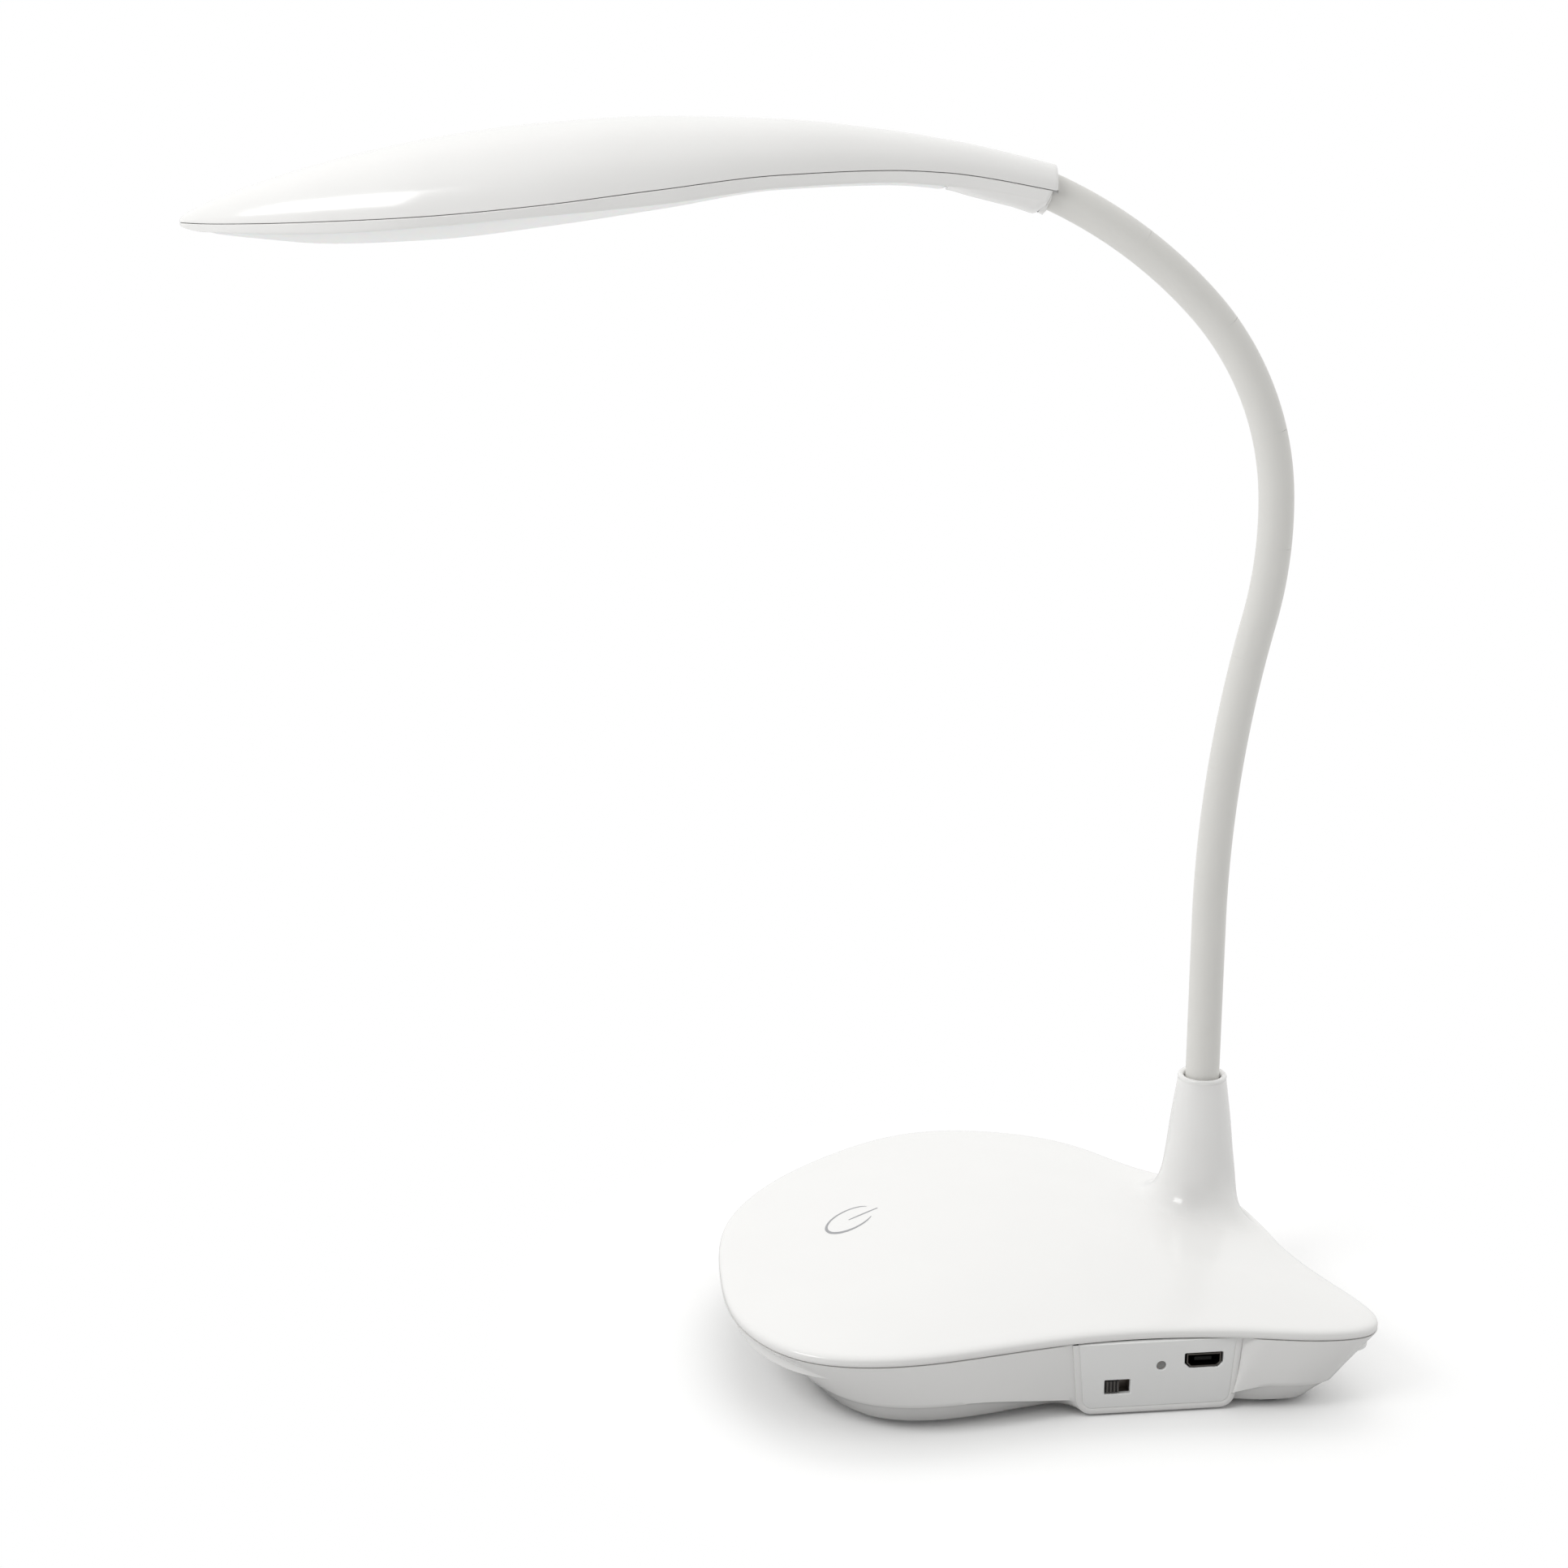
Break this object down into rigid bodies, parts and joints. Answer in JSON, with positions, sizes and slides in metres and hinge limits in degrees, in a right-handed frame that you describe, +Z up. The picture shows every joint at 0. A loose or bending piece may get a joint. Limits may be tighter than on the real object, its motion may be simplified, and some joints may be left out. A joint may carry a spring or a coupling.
{
  "type": "gooseneck desk lamp",
  "caption": "Desk lamp with a leaf-shaped base, a flexible gooseneck and a slim leaf-shaped light head; slide switch, charging socket and touch mark on the base.",
  "frame": {"origin": "on the desk under the middle of the base", "axes": "+X towards the tail of the base, -X where the head points, +Y away from the socket panel, +Z up"},
  "size_m": [0.2548, 0.1241, 0.2667],
  "materials": {
    "shell": "glossy white",
    "sleeve": "satin off-white silicone",
    "diffuser": "frosted white",
    "rubber": "matt",
    "black_plastic": "matt black",
    "steel": "plated",
    "brass": "bright",
    "lens_clear": "clear moulded",
    "aluminium": "white coated",
    "led": "phosphor",
    "foil": "foil pouch",
    "board": "solder mask",
    "copper": "foil"
  },
  "bodies": {
    "base": {"base_top_shell": "shell", "base_bottom_shell": "shell", "rubber_feet": "rubber", "io_plate": "shell", "usb_shell": "steel", "usb_tongue": "black_plastic", "switch_body": "black_plastic", "indicator_led": "lens_clear", "root_ferrule": "steel", "root_nut": "brass", "base_screws": "steel", "ballast_plate": "steel", "battery_cell": "foil", "base_board": "board", "board_standoffs": "brass", "touch_electrode": "copper", "neck_sleeve_0": "sleeve", "neck_core_0": "steel"},
    "switch": {"switch_knob": "black_plastic"},
    "neck_1": {"neck_sleeve_1": "sleeve", "neck_core_1": "steel"},
    "neck_2": {"neck_sleeve_2": "sleeve", "neck_core_2": "steel"},
    "neck_3": {"neck_sleeve_3": "sleeve", "neck_core_3": "steel"},
    "neck_4": {"neck_sleeve_4": "sleeve", "neck_core_4": "steel"},
    "neck_5": {"neck_sleeve_5": "sleeve", "neck_core_5": "steel"},
    "neck_6": {"neck_sleeve_6": "sleeve", "neck_core_6": "steel"},
    "neck_7": {"neck_sleeve_7": "sleeve", "neck_core_7": "steel"},
    "neck_8": {"neck_sleeve_8": "sleeve", "neck_core_8": "steel"},
    "head": {"neck_sleeve_9": "sleeve", "neck_core_9": "steel", "head_top_shell": "shell", "head_lower_shell": "shell", "diffuser_lens": "diffuser", "head_ferrule": "steel", "led_board": "aluminium", "led_screws": "steel", "leds": "led"}
  },
  "joints": [
    {"name": "lower_bend", "type": "hinge", "parent": "base", "child": "neck_1", "pos_m": [0.043, 0.015, 0.0623], "axis": [0, -1, 0], "range_deg": [-8, 10]},
    {"name": "side_bend", "type": "hinge", "parent": "neck_1", "child": "neck_2", "pos_m": [0.043, 0.015, 0.08755], "axis": [1, 0, 0], "range_deg": [-12, 12]},
    {"name": "lower_bend_3", "type": "hinge", "parent": "neck_2", "child": "neck_3", "pos_m": [0.04396, 0.015, 0.11277], "axis": [0, -1, 0], "range_deg": [-8, 10]},
    {"name": "side_bend_4", "type": "hinge", "parent": "neck_3", "child": "neck_4", "pos_m": [0.04703, 0.015, 0.13783], "axis": [0.9866, 0, -0.163], "range_deg": [-12, 12]},
    {"name": "lower_bend_5", "type": "hinge", "parent": "neck_4", "child": "neck_5", "pos_m": [0.05207, 0.015, 0.16257], "axis": [0, -1, 0], "range_deg": [-8, 10]},
    {"name": "upper_bend", "type": "hinge", "parent": "neck_5", "child": "neck_6", "pos_m": [0.05364, 0.015, 0.1877], "axis": [0, -1, 0], "range_deg": [-12, 14]},
    {"name": "side_bend_7", "type": "hinge", "parent": "neck_6", "child": "neck_7", "pos_m": [0.04706, 0.015, 0.21191], "axis": [0.8965, 0, 0.4431], "range_deg": [-12, 12]},
    {"name": "upper_bend_8", "type": "hinge", "parent": "neck_7", "child": "neck_8", "pos_m": [0.03189, 0.015, 0.23191], "axis": [0, -1, 0], "range_deg": [-12, 14]},
    {"name": "upper_bend_9", "type": "hinge", "parent": "neck_8", "child": "head", "pos_m": [0.01159, 0.015, 0.24683], "axis": [0, -1, 0], "range_deg": [-12, 14]},
    {"name": "switch_slide", "type": "slide", "parent": "base", "child": "switch", "axis": [0.9936, 0.1132, 0], "range_m": [0, 0.002]}
  ],
  "couplings": [
    {"joint": "lower_bend_3", "follows": "lower_bend", "ratio": 1},
    {"joint": "side_bend_4", "follows": "side_bend", "ratio": 1},
    {"joint": "lower_bend_5", "follows": "lower_bend", "ratio": 1},
    {"joint": "side_bend_7", "follows": "side_bend", "ratio": 1},
    {"joint": "upper_bend_8", "follows": "upper_bend", "ratio": 1},
    {"joint": "upper_bend_9", "follows": "upper_bend", "ratio": 1}
  ]
}
